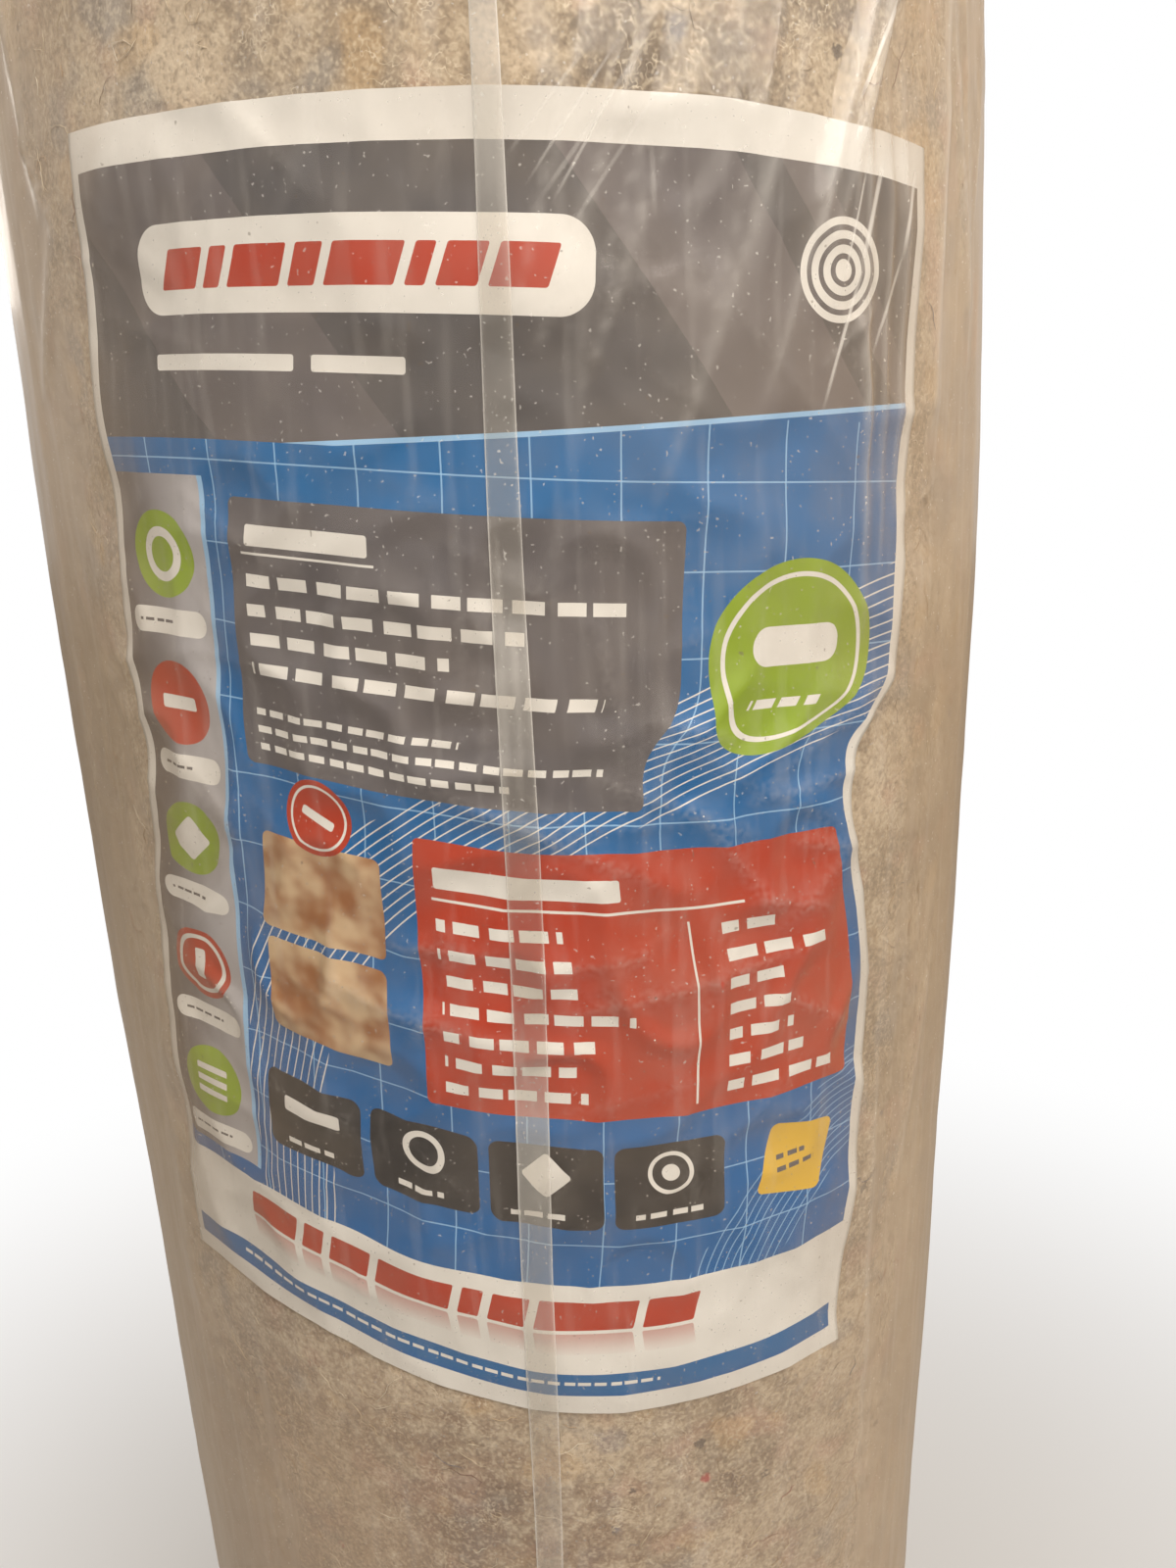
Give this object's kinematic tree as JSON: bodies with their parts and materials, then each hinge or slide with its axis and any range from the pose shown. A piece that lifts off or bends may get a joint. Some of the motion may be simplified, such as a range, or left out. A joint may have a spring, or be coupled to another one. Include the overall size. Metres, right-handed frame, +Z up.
{
  "type": "insulation roll",
  "caption": "Standing roll of wool-felt-faced multi-layer insulation, wound without a core, in a clear film sleeve with a paper sheet behind the film.",
  "frame": {"origin": "centre of the roll's lower end, on the axis of the bore", "axes": "+Z up along the roll's axis, -Y towards the front, where the paper sheet faces"},
  "size_m": [0.4034, 0.4042, 1.5],
  "materials": {
    "felt": "mottled recycled wool felt, with curly fibres and coloured flecks",
    "film": "clear glossy film with a slight haze and fine creases",
    "paper": "laser-printed office paper, slightly crumpled"
  },
  "bodies": {
    "root": {"insulation_roll": "felt", "film_sleeve": "film", "label_sheet": "paper"}
  },
  "joints": []
}
